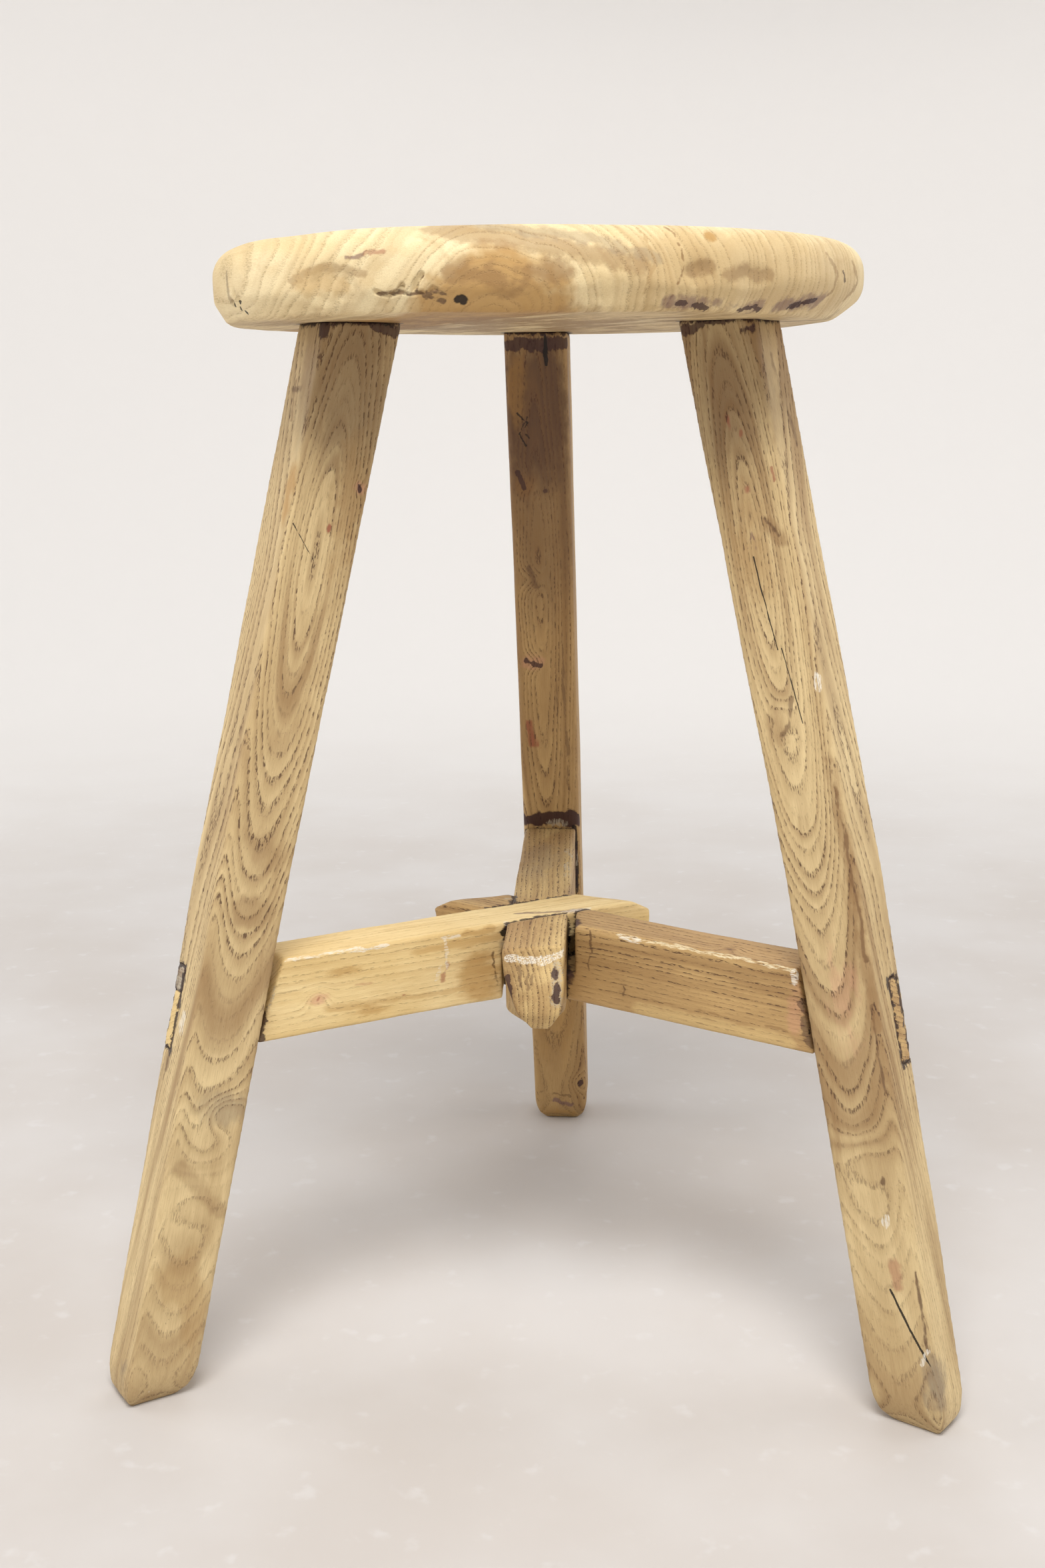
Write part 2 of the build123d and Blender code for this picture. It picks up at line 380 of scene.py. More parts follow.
def elm(
    name,
    place,
    tones,
    heart,
    bend=(0, 0, (0, -1)),
    ring=1.5,
    dash=1.0,
    bands=1.0,
    sway=1.0,
    seed=0,
    core=None,
    calm=None,
    spread=None,
    knots=(),
    marks=(),
):
    """Sanded elm whose yearly rings lie round a curved heart line.

    tones: light, middle and dark colour. heart: (x, y) of the heart line where it comes
    nearest. bend: height there, how fast the line falls away, and the direction it goes.
    core: (radius, colour, strength) of a stain round the heart. calm: (centre, radius,
    strength) of a place with faint rings. spread: a rim radius that marks are laid on.
    knots: (centre, radius, rings). marks: (colour, strength, points, radius, raggedness),
    where the points are one line, or a list of lines.
    """
    f = Finish(name)
    light, middle_tone, dark = (paint[tone] for tone in tones)
    where = f.node("TexCoord", {}, {}, 3)
    settings = {"vector_type": "TEXTURE"}
    turn = place.to_euler()
    sockets = {
        "Vector": where,
        "Location": tuple(place.translation * MM),
        "Rotation": tuple(turn),
        "Scale": (MM, MM, MM),
    }
    at = f.node("Mapping", settings, sockets)
    shifted = f.node("Mapping", {}, {"Vector": at, "Location": (seed * 37.0, seed * 91.0, seed * 53.0)})

    # rings: distance from the heart line, swayed by slow noise
    slow = f.stretched(shifted, (1 / 34, 1 / 34, 1 / 80))
    sways = f.vector("SUBTRACT", f.noise(slow, 2.0, 0.45, 0.0, 1), (0.5, 0.5, 0.5))
    ripple = f.stretched(shifted, (1 / 5, 1 / 5, 1 / 11))
    ripples = f.vector("SUBTRACT", f.noise(ripple, 1.0, 0.5, 0.0, 1), (0.5, 0.5, 0.5))
    bent = f.vector("ADD", at, f.vector("MULTIPLY", sways, (4 * sway, 4 * sway, 0)))
    bent = f.vector("ADD", bent, f.vector("MULTIPLY", ripples, (0.35, 0.35, 0)))
    x = f.node("SeparateXYZ", {}, {0: bent}, 0)
    y = f.node("SeparateXYZ", {}, {0: bent}, 1)
    z = f.node("SeparateXYZ", {}, {0: bent}, 2)
    nearest, fall, (fall_x, fall_y) = bend
    span = z - nearest
    away = (f.math("SQRT", span * span + 400.0) - 20.0) * fall
    side = x - heart[0] - away * fall_x
    deep = y - heart[1] - away * fall_y
    distance = f.math("SQRT", side * side + deep * deep)
    for centre, radius, rings in knots:
        gap = f.vector("DISTANCE", at, centre, 1) / radius
        distance = distance + f.math("EXPONENT", gap * gap * -1.0) * (rings * ring)
    uneven = f.noise(f.node("CombineXYZ", {}, {0: distance * 0.11, 1: seed * 3.7, 2: 0.0}), 2.0)
    count = distance / ring + uneven * 3.0
    in_ring = f.math("FRACT", count)
    year = f.noise(f.node("CombineXYZ", {}, {0: f.math("FLOOR", count) * 0.83, 1: seed * 5.1, 2: 0.5}), 0.0)

    # pores: short dark strokes along the grain, crowded where each ring starts
    pores = f.noise(f.stretched(shifted, (1.7, 1.7, 0.36)), 1.5, 0.6)
    early = f.ramp(in_ring, 0.0, 0.10) * f.ramp(in_ring, 0.24, 0.42, 1.0, 0.0)
    strokes = f.ramp(pores, 0.50, 0.60) * early * f.ramp(year, 0.30, 0.62, 0.25, 1.0)
    plain = 1.0
    if calm:
        calm_centre, calm_radius, calm_strength = calm
        from_calm = f.vector("DISTANCE", bent, calm_centre, 1)
        plain = f.ramp(from_calm, calm_radius * 0.5, calm_radius * 1.2, 1 - calm_strength, 1.0)
        strokes = strokes * plain
    fine = f.noise(f.stretched(shifted, (2.6, 2.6, 0.13)), 2.0, 0.6)
    fleck = f.noise(f.stretched(shifted, (2.2, 2.2, 0.55)), 1.0)
    scattered = f.ramp(fleck, 0.70, 0.76)

    # ground colour
    broad = f.noise(f.node("CombineXYZ", {}, {0: distance * 0.16, 1: seed * 7.7, 2: z * 0.004}), 2.5, 0.6)
    patch = f.noise(f.stretched(shifted, (1 / 42, 1 / 42, 1 / 120)), 3.0, 0.55, 0.6)
    streak = f.noise(f.stretched(shifted, (1 / 6, 1 / 6, 1 / 150)), 2.0, 0.55)
    colour = f.mix(f.ramp(patch, 0.34, 0.66), light, middle_tone)
    colour = f.mix(f.ramp(streak, 0.42, 0.75, 0.0, 0.55), colour, middle_tone)
    colour = f.mix(f.ramp(broad, 0.48, 0.72, 0.0, 0.6 * bands), colour, dark)
    if core:
        blotch = f.noise(f.stretched(shifted, (1 / 9, 1 / 9, 1 / 30)), 3.0)
        near_heart = distance + (blotch - 0.5) * 22
        core_radius, core_shade, core_strength = core
        stain = f.ramp(near_heart, core_radius * 0.75, core_radius * 1.15, core_strength, 0.0)
        colour = f.mix(stain, colour, paint[core_shade])
    mark_at = at
    if spread:
        flat_at = f.vector("MULTIPLY", at, (1, 0, 1))
        stretch = f.math("MAXIMUM", f.vector("LENGTH", flat_at, output=1), spread - 16.0)
        stretch = f.math("DIVIDE", float(spread), stretch)
        mark_at = f.vector("MULTIPLY", at, f.node("CombineXYZ", {}, {0: stretch, 1: 1.0, 2: stretch}))
    # soft marks: real stains, and painted shade under the seat and on the seat's underside
    stains_and_shade = [mark for mark in marks if mark[0] not in COVERINGS]
    colour = lay_marks(f, colour, mark_at, shifted, stains_and_shade, streak)[0]
    band = f.ramp(in_ring, 0.0, 0.22) * f.ramp(in_ring, 0.3, 0.95, 1.0, 0.0)
    band = band * f.ramp(year, 0.25, 0.75, 0.1, 0.75) * plain
    colour = f.mix(band * (0.5 * bands), colour, dark)
    heartwood = f.noise(f.stretched(shifted, (1 / 15, 1 / 15, 1 / 95)), 3.0, 0.6, 0.8)
    colour = f.mix(f.ramp(heartwood, 0.56, 0.80, 0.0, 0.45), colour, dark)
    colour = f.mix(f.ramp(fine, 0.35, 0.75, 0.0, 0.22), colour, dark)
    colour = f.mix(strokes * (0.85 * dash), colour, paint["umber"])
    colour = f.mix(scattered * (0.35 * dash), colour, paint["umber"])

    torn = f.noise(f.stretched(shifted, (0.35, 0.35, 0.16)), 4.0, 0.62)
    coverings = [mark for mark in marks if mark[0] in COVERINGS]
    colour, hollow = lay_marks(f, colour, mark_at, shifted, coverings, None)

    # old lacquer kept in the joints, and bare wood on worn corners; the pale corners also stand as a painted
    # highlight along the arrises
    joint = f.node("Attribute", {"attribute_name": "joint"}, {}, 2)
    worn = f.node("Attribute", {"attribute_name": "worn"}, {}, 2)
    residue = f.ramp(joint + (torn - 0.5) * 1.5, 0.70, 0.86, 0.0, 0.9)
    colour = f.mix(residue, colour, f.mix(f.ramp(pores, 0.4, 0.6), paint["black"], paint["lacquer"]))
    bare_and_highlight = f.ramp(worn + (torn - 0.5) * 0.9, 0.62, 0.80, 0.0, 0.75)
    colour = f.mix(bare_and_highlight, colour, paint["cream"])
    bright = f.ramp(worn + (torn - 0.5) * 1.3, 0.98, 1.1, 0.0, 0.8)
    colour = f.mix(bright, colour, paint["chalk"])

    relief = fine * 0.25 - strokes * 0.9 - scattered * 0.4 + torn * 0.35 - hollow * 0.8
    normal = f.node("Bump", {}, {"Strength": 0.55, "Distance": 0.0004, "Height": relief})
    gloss = f.ramp(fine, 0.2, 0.8, 0.52, 0.68) + strokes * 0.2 + residue * -0.12
    sockets = {"Base Color": colour, "Roughness": gloss, "Normal": normal, "Specular IOR Level": 0.35}
    bsdf = f.node("BsdfPrincipled", {}, sockets)
    f.node("OutputMaterial", {}, {0: bsdf})
    return f.material


# ---------------------------------------------------------------------------
# Shaping
# ---------------------------------------------------------------------------
class Carving:
    """A dense copy of a piece's body that is worked with soft cuts, in its own frame."""

    def __init__(self, node, place, grain_size):
        self.node, self.place = node, place
        coarse = 1.0
        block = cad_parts[node].data.copy()
        work = bmesh.new()
        work.from_mesh(block)
        bmesh.ops.remove_doubles(work, verts=work.verts, dist=1e-6)
        work.to_mesh(block)
        work.free()
        rough = bpy.data.objects.new(node + "_block", block)
        scene.collection.objects.link(rough)
        remesh = rough.modifiers.new("remesh", "REMESH")
        remesh.mode = "VOXEL"
        remesh.voxel_size = grain_size * coarse * MM
        bpy.context.view_layer.update()
        seen = rough.evaluated_get(bpy.context.evaluated_depsgraph_get())
        self.mesh = bpy.data.meshes.new_from_object(seen)
        bpy.data.objects.remove(rough)
        self.read()

    def read(self):
        """Takes the mesh's points into the piece's own frame."""
        count = len(self.mesh.vertices)
        flat = np.empty(count * 3)
        self.mesh.vertices.foreach_get("co", flat)
        self.world = flat.reshape(-1, 3) / MM
        self.axes = np.array(self.place.to_3x3())
        self.origin = np.array(self.place.translation)
        self.p = (self.world - self.origin) @ self.axes
        pairs = np.empty(len(self.mesh.edges) * 2, np.int64)
        self.mesh.edges.foreach_get("vertices", pairs)
        self.pairs = pairs.reshape(-1, 2)
        self.links = np.bincount(self.pairs.ravel(), minlength=count)[:, None]

    def write(self):
        """Puts the worked points back into the mesh, none of them below the floor."""
        self.world = self.p @ self.axes.T + self.origin
        self.world[:, 2] = np.maximum(self.world[:, 2], 0)
        self.mesh.vertices.foreach_set("co", (self.world * MM).ravel())
        self.mesh.update()

    def normals(self):
        """Outward directions in the piece's frame."""
        self.write()
        flat = np.empty(len(self.p) * 3)
        self.mesh.vertices.foreach_get("normal", flat)
        return flat.reshape(-1, 3) @ self.axes

    def relaxed(self, points, rounds):
        """The points after being drawn towards their neighbours."""
        a, b = self.pairs.T
        for _ in range(rounds):
            total = np.empty_like(points)
            for axis in range(3):
                total[:, axis] = np.bincount(a, points[b, axis], len(points)) + np.bincount(
                    b, points[a, axis], len(points)
                )
            points = points * 0.5 + total / self.links * 0.5
        return points

    def cloud(self, size, seed):
        """Smooth noise from -1 to 1 at every point, with its own size along each axis."""
        scaled = self.p / np.array(size) + seed * 17.3
        return np.array([noise.noise(Vector(q)) for q in scaled])

    def wear(self, rounds, least, most, seed, size=(9, 9, 22)):
        """Rounds the corners unevenly, and notes how much went."""
        self.p = self.relaxed(self.p, 1)
        soft = self.relaxed(self.p, rounds)
        amount = least + (most - least) * np.clip(self.cloud(size, seed) * 1.3 + 0.45, 0, 1)
        step = (soft - self.p) * amount[:, None]
        gone = np.linalg.norm(step, axis=1)
        self.p = self.p + step + self.normals() * swell
        self.worn = np.clip(gone / full_wear, 0, 1)

    def ripple(self, depth, size, seed):
        """Soft hollows and rises left by hand tools."""
        self.p = self.p + self.normals() * (self.cloud(size, seed) * depth)[:, None]

    def dent(self, centre, size, depth, seed=0.0, ragged=0.0):
        """A hollow pushed in along the surface's own direction."""
        gap = np.linalg.norm((self.p - np.array(centre)) / np.array(size), axis=1)
        if ragged:
            gap = gap + self.cloud((3, 3, 4), seed + 5) * ragged
        reach = np.clip(1 - gap**2, 0, 1)
        reach = reach * reach * (3 - 2 * reach)
        self.p = self.p - self.normals() * (reach * depth)[:, None]

    def groove(self, points, radius, depth, seed=0.0, wander=0.0):
        """A narrow cut that follows a line of points."""
        place = self.p
        if wander:
            shift = np.stack([self.cloud((6, 6, 8), seed + k) for k in range(3)], axis=1)
            place = place + shift * wander
        gap = self.from_line(place, points) / radius
        reach = np.clip(1 - gap * gap, 0, 1)
        self.p = self.p - self.normals() * (reach * depth)[:, None]

    def from_line(self, place, points):
        """Distance of every point from a line through several points."""
        least = np.full(len(place), 1e9)
        for start, end in zip(points, points[1:]):
            start, end = np.array(start, float), np.array(end, float)
            run = end - start
            part = np.clip((place - start) @ run / (run @ run), 0, 1)
            least = np.minimum(least, np.linalg.norm(place - start - part[:, None] * run, axis=1))
        return least

    def refine(self, points, radius, cuts=1):
        """Splits the faces near a line of points, for finer detail there."""
        self.write()
        near = self.from_line(self.p, points) < radius
        work = bmesh.new()
        work.from_mesh(self.mesh)
        work.verts.ensure_lookup_table()
        chosen = [edge for edge in work.edges if near[edge.verts[0].index] and near[edge.verts[1].index]]
        bmesh.ops.subdivide_edges(work, edges=chosen, cuts=cuts, use_grid_fill=True)
        work.to_mesh(self.mesh)
        work.free()
        self.read()

    def finish(self, material, neighbours):
        """Makes the piece, with its wear and its closeness to its neighbours noted."""
        worn = self.worn if len(self.worn) == len(self.p) else np.zeros(len(self.p))
        self.write()
        trees = []
        for other in neighbours:
            work = bmesh.new()
            work.from_mesh(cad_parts[other].data)
            trees.append(BVHTree.FromBMesh(work))
            work.free()
        reach = residue_reach * MM
        joint = np.zeros(len(self.p))
        for index, vertex in enumerate(self.mesh.vertices):
            for tree in trees:
                hit = tree.find_nearest(vertex.co, reach)
                if hit[3] is not None:
                    joint[index] = max(joint[index], 1 - hit[3] / reach)
        for name, values in (("worn", worn), ("joint", joint)):
            layer = self.mesh.attributes.new(name, "FLOAT", "POINT")
            layer.data.foreach_set("value", values.astype(np.float32))
        self.mesh.materials.clear()
        self.mesh.materials.append(material)
        self.mesh.shade_smooth()
        piece = bpy.data.objects.new("worn_" + self.node, self.mesh)
        scene.collection.objects.link(piece)
        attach(piece, "root")
        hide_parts(self.node)
        return piece


def blend(value, low, high):
    """Goes smoothly from 0 to 1 as an array of values goes from low to high."""
    part = np.clip((value - low) / (high - low), 0, 1)
    return part * part * (3 - 2 * part)


def foot_rounding(carving, height, inset, depth, width):
    """Draws in the lower corners of a leg's foot."""
    up = np.clip(carving.world[:, 2] / height, 0, 1)
    draw = inset * (1 - up) ** 2
    for axis, half in ((0, depth / 2), (1, width / 2)):
        share = np.clip(np.abs(carving.p[:, axis]) / half, 0, 1) ** 3
        carving.p[:, axis] -= np.sign(carving.p[:, axis]) * draw * share


# ---------------------------------------------------------------------------
# Pieces
# ---------------------------------------------------------------------------
def make_leg(name, seed, material):
    """A leg: hand-planed faces, rubbed corners and a rounded foot."""
    neighbours = {
        "leg_left": ("seat", "stretcher_left", "slip_left"),
        "leg_right": ("seat", "stretcher_right"),
        "leg_back": ("seat", "stretcher_back"),
    }[name]
    leg = Carving(name, leg_place(name), leg_fineness)
    depth, width = leg_shapes[name][4]
    foot_rounding(leg, foot_rise, foot_inset, depth, width)
    leg.ripple(0.45, (22, 22, 60), seed)
    leg.wear(4, 0.0, 1.0, seed + 1)
    return leg.finish(material, neighbours)


left_leg_wood = elm(
    "left_leg_elm",
    leg_place("leg_left"),
    ("wheat", "flax", "brown"),
    heart=(3, 12.5),
    bend=(392, 0.15, (0, -1)),
    ring=1.6,
    seed=1,
    calm=((0, 10, 70), 80, 0.55),
    knots=[((-5, 15, 138), 9, 3), ((2, 15, 96), 14, 3), ((-13, 15, 428), 4, 1.5)],
    marks=[
        # painted shade: the top of the leg darkened where the seat shades it
        ("umber", 0.45, [(2, 12, 472)], (30, 14, 38), 0.1),
        ("brown", 0.35, [(-2, 15, 262)], (13, 5, 9), 0.2),
        ("brown", 0.4, [(2, 15, 232)], (15, 5, 7), 0.2),
        ("fawn", 0.7, [(-8, 15, 420)], (9, 5, 34), 0.2),
        ("grey", 0.55, [(-3, 15, 139)], (15, 6, 9), 0.2),
        ("fawn", 0.5, [(4, 15, 66), (-8, 15, 40)], 9, 0.25),
        ("brown", 0.35, [(12, 15, 112), (-12, 15, 92)], 4, 0.3),
        ("black", 0.9, [(16, 15, 406), (3, 15, 392), (2, 15, 400)], 0.35, 0.2),
        ("umber", 0.9, [(3, 15, 392), (1, 15, 384), (-3, 15, 377)], 0.35, 0.2),
        ("red", 0.8, [(-1, 15, 408)], (1.0, 2, 2.0), 0.3),
        ("pink", 0.6, [(-13, 15, 428)], 3.2, 0.4),
        ("lacquer", 0.9, [(-13, 15, 428)], (1.4, 2, 1.8), 0.4),
        ("amber", 0.7, [(19, 8, 424)], (8, 5, 14), 0.4),
        ("lacquer", 0.9, [(19, 13, 492)], (4, 4, 5), 0.6),
        ("lacquer", 0.8, [(18, 15, 500), (-18, 15, 500)], 2.4, 0.8),
        ("brown", 0.6, [(19, -4, 470), (19, -2, 452)], 1.2, 0.5),
        ("umber", 0.6, [(19, -3, 466)], (2, 6, 1.5), 0.5),
        ("umber", 0.9, [(17, 14, 30), (18, 14, 14)], 0.7, 0.3),
        ("grey", 0.7, [(18, 6, 14)], (4, 5, 8), 0.5),
        ("chalk", 0.9, [(7, 15, 5), (-4, 15, 3.5), (-14, 15, 1)], 1.5, 0.6),
        ("chalk", 0.85, [(20, 3, 177)], (3, 3.2, 7), 0.4),
        ("umber", 0.7, [(20, -5, 160), (20, -6, 152)], 2.5, 0.6),
    ],
)
right_leg_wood = elm(
    "right_leg_elm",
    leg_place("leg_right"),
    ("wheat", "flax", "brown"),
    heart=(0.5, -11.5),
    bend=(394, 0.14, (0, 1)),
    ring=1.5,
    seed=2,
    calm=((0, -10, 70), 80, 0.55),
    knots=[((0, -13, 322), 7, 2), ((2, -13, 122), 13, 3)],
    marks=[
        # painted shade: the top of the leg darkened where the seat shades it
        ("umber", 0.4, [(0, -10, 472)], (30, 14, 36), 0.1),
        ("fawn", 0.6, [(-2, -13, 400)], (12, 5, 30), 0.2),
        ("brown", 0.4, [(0, -13, 322)], (8, 4, 10), 0.3),
        ("umber", 0.6, [(5, -13, 330), (2, -13, 318), (-3, -13, 314)], 1.2, 0.4),
        ("brown", 0.5, [(9, -13, 408), (14, -13, 398)], 3.5, 0.4),
        ("umber", 0.8, [(8, -13, 410), (14, -13, 400)], 1.1, 0.7),
        ("black", 0.95, [(-1, -13, 394), (0, -13, 380), (3, -13, 352)], 0.35, 0.2),
        ("black", 0.9, [(5, -13, 352), (7, -13, 336), (9, -13, 318)], 0.35, 0.2),
        ("violet", 0.7, [(-3, -13, 398), (0, -13, 405), (1, -13, 396), (-2, -13, 391)], 0.4, 0.3),
        ("red", 0.7, [(-2, -13, 455)], (1.4, 2, 3.5), 0.5),
        ("red", 0.6, [(4, -13, 447)], (1.0, 2, 2.0), 0.5),
        ("red", 0.7, [(2, -13, 424)], (1.6, 2, 2.2), 0.5),
        ("red", 0.6, [(15, -13, 430), (16, -13, 424)], 0.9, 0.5),
        ("umber", 0.75, [(19, -13, 296), (19.5, -12.5, 211)], 0.9, 0.4),
        ("umber", 0.7, [(18, -13, 191), (17.5, -13, 152)], 0.9, 0.45),
        ("brown", 0.5, [(18, -12, 300), (19, -12, 180)], 2.6, 0.5),
        ("chalk", 0.9, [(19, -12, 335)], (2, 2, 4.5), 0.5),
        ("umber", 0.8, [(9, -13, 113)], 1.5, 0.4),
        ("chalk", 0.9, [(7, -13, 95)], (1.8, 2, 2.4), 0.5),
        ("red", 0.45, [(7, -13, 75), (7, -13, 66)], 2.6, 0.5),
        ("pink", 0.35, [(5, -13, 200)], (8, 3, 30), 0.5),
        ("black", 0.95, [(3, -13, 64), (9, -13, 47), (16, -13, 30)], 0.6, 0.25),
        ("umber", 0.8, [(17, -12, 72), (16, -13, 50), (17, -13, 30)], 0.9, 0.4),
        ("grey", 0.85, [(17, -12, 22)], (5, 8, 13), 0.5),
        ("chalk", 0.8, [(12, -13, 31), (16, -13, 36)], 1.4, 0.6),
        ("lacquer", 0.9, [(19, -13, 492)], (5, 4, 5), 0.6),
        ("lacquer", 0.8, [(18, -13, 499), (-18, -13, 499)], 2.4, 0.8),
        ("umber", 0.5, [(20, -2, 480), (20, 6, 440)], 1.6, 0.6),
    ],
)
back_leg_wood = elm(
    "back_leg_elm",
    leg_place("leg_back"),
    ("tan", "fawn", "brown"),
    heart=(-15, 2),
    bend=(370, 0.07, (1, 0)),
    ring=1.9,
    seed=3,
    knots=[((-18, 10, 427), 6, 2), ((-18, 6, 370), 7, 3), ((-18, 7, 321), 6, 2), ((-17, -13, 33), 7, 2)],
    marks=[
        # partly darker old wood, partly painted shade: the top of the leg under the seat, and more faintly
        # its middle, darkened where the seat shades them
        ("umber", 0.9, [(-18, 0, 465)], (24, 24, 44), 0.1),
        ("umber", 0.5, [(-18, 0, 420)], (24, 24, 75), 0.05),
        ("lacquer", 0.85, [(-18, 16, 500), (-18, -16, 500)], 3.5, 0.6),
        ("black", 0.95, [(-18, -5, 504), (-18, -5, 490)], 0.9, 0.3),
        ("amber", 0.45, [(-18, 10, 478)], (5, 6, 20), 0.3),
        ("black", 0.85, [(-18, 11, 463), (-18, 6, 458), (-18, 10, 452), (-18, 7, 446)], 0.5, 0.5),
        ("black", 0.7, [(-18, 6, 462), (-18, 9, 455), (-18, 5, 449)], 0.4, 0.5),
        ("lacquer", 0.8, [(-18, 12, 431), (-18, 9, 424)], 1.6, 0.6),
        ("brown", 0.7, [(-18, 9, 427)], (4, 6, 8), 0.4),
        ("lacquer", 0.7, [(-18, -3, 421)], 1.6, 0.5),
        ("umber", 0.6, [(-18, 8, 376), (-18, 4, 366)], 2, 0.6),
        ("pink", 0.5, [(-18, 7, 321)], (4, 7, 4.5), 0.5),
        ("lacquer", 0.85, [(-18, 11, 322), (-18, 4, 319)], 1.7, 0.7),
        ("red", 0.75, [(-18, 11, 283), (-18, 9, 270)], 2.6, 0.4),
        ("umber", 0.5, [(-18, -9, 340), (-18, -11, 240)], 0.8, 0.4),
        ("umber", 0.45, [(-18, -5, 320), (-18, -7, 262)], 0.6, 0.4),
        ("lacquer", 0.95, [(-17, 15, 220), (-17, -12, 219)], 5.5, 0.35),
        ("putty", 0.9, [(-17, 0, 219), (-17, -8, 218.5)], 2.4, 0.6),
        ("black", 0.9, [(-17, -13, 216), (-17, -14.2, 176)], 1.4, 0.5),
        ("putty", 0.7, [(-17, -14, 200), (-17, -14, 190)], 1.0, 0.9),
        ("amber", 0.8, [(-17, -14, 184), (-17, -14, 176)], 1.5, 0.4),
        ("amber", 0.4, [(-17, 0, 110)], (8, 16, 60), 0.3),
        ("lacquer", 0.9, [(-17, -13, 33)], (2, 2.4, 2.6), 0.4),
        ("umber", 0.5, [(-17, 12, 26), (-17, -6, 24)], 1.0, 0.5),
        ("violet", 0.75, [(-17, 4, 20), (-17, -6, 17)], 2.0, 0.7),
        ("amber", 0.6, [(-17, 8, 8), (-17, -8, 8)], 5, 0.3),
    ],
)
left_bar_wood = elm(
    "left_bar_elm",
    bar_place("stretcher_left"),
    ("straw", "honey", "amber"),
    heart=(-28, 70),
    ring=2.4,
    dash=0.3,
    bands=0.55,
    seed=4,
    knots=[((14, 16, 129), 6, 3)],
    marks=[
        ("amber", 0.65, [(14, 14, 44)], (5, 15, 12), 0.3),
        ("amber", 0.45, [(14, 32, 30), (14, 31, 75)], (4, 2.2, 6), 0.4),
        ("amber", 0.35, [(14, 8, 50), (14, 10, 120)], (4, 1.6, 6), 0.4),
        ("chalk", 0.8, [(14, 37, 138), (14, 37, 96)], (1.6, 1.0, 5), 0.9),
        ("chalk", 0.7, [(14, 36, 62), (14, 35, 54)], (2, 1.0, 2), 0.7),
        ("chalk", 0.65, [(14, 33, 62), (14, 20, 62)], (2, 2, 0.9), 0.8),
        ("violet", 0.6, [(14, 27, 63), (14, 22, 62)], 1.0, 0.6),
        ("red", 0.6, [(14, 23, 61), (14, 15, 63)], 1.2, 0.6),
        ("red", 0.4, [(14, 25, 57), (14, 18, 58)], 0.8, 0.6),
        ("chalk", 0.5, [(14, 22, 65), (14, 16, 66)], 1.0, 0.8),
        ("umber", 0.8, [(14, 24, 36), (14, 5, 33)], 0.8, 0.4),
        ("umber", 0.9, [(14, 26, 50), (14, 24, 40), (14, 23, 30)], 0.4, 0.2),
        ("grey", 0.85, [(13, 27, 29)], (4, 4.5, 4), 0.4),
        ("black", 0.95, [(13, 34, 29)], (4, 3.4, 3), 0.4),
        ("chalk", 0.9, [(14, 36.5, 28)], (2, 1.4, 2.4), 0.6),
        ("red", 0.8, [(14, 10, 84)], (1, 0.8, 1.6), 0.3),
        ("red", 0.5, [(14, 20, 104)], (1.5, 0.9, 5), 0.5),
        ("amber", 0.55, [(14, 28, 116)], (3, 2.6, 9), 0.7),
        ("amber", 0.55, [(14, 6, 102)], (3, 2.6, 9), 0.7),
        ("amber", 0.5, [(14, 36, 50), (14, 36, 36)], 2.0, 0.9),
        ("pink", 0.55, [(14, 16, 129)], (2, 3.4, 5), 0.4),
        ("red", 0.6, [(14, 16, 129)], 0.9, 0.3),
        ("black", 0.9, [(14, 38, 147), (14, 34, 150)], 2.2, 0.4),
        ("lacquer", 0.85, [(14, 38, 151), (14, 1, 159)], 2.2, 0.6),
        ("putty", 0.7, [(14, 26, 151), (14, 14, 154)], 1.0, 0.8),
        ("violet", 0.7, [(4, 38, 14), (10, 38, 0), (13, 38, -16)], 1.8, 0.7),
        ("umber", 0.6, [(3, 38, 10), (9, 38, -2)], 0.8, 0.6),
        ("chalk", 0.6, [(12, 38, -8), (14, 38, -20)], 2.0, 0.8),
        ("chalk", 0.7, [(10, 37, -26), (12, 35, -34)], 1.6, 0.8),
        ("amber", 0.5, [(0, 34, -46)], (12, 10, 8), 0.4),
    ],
)
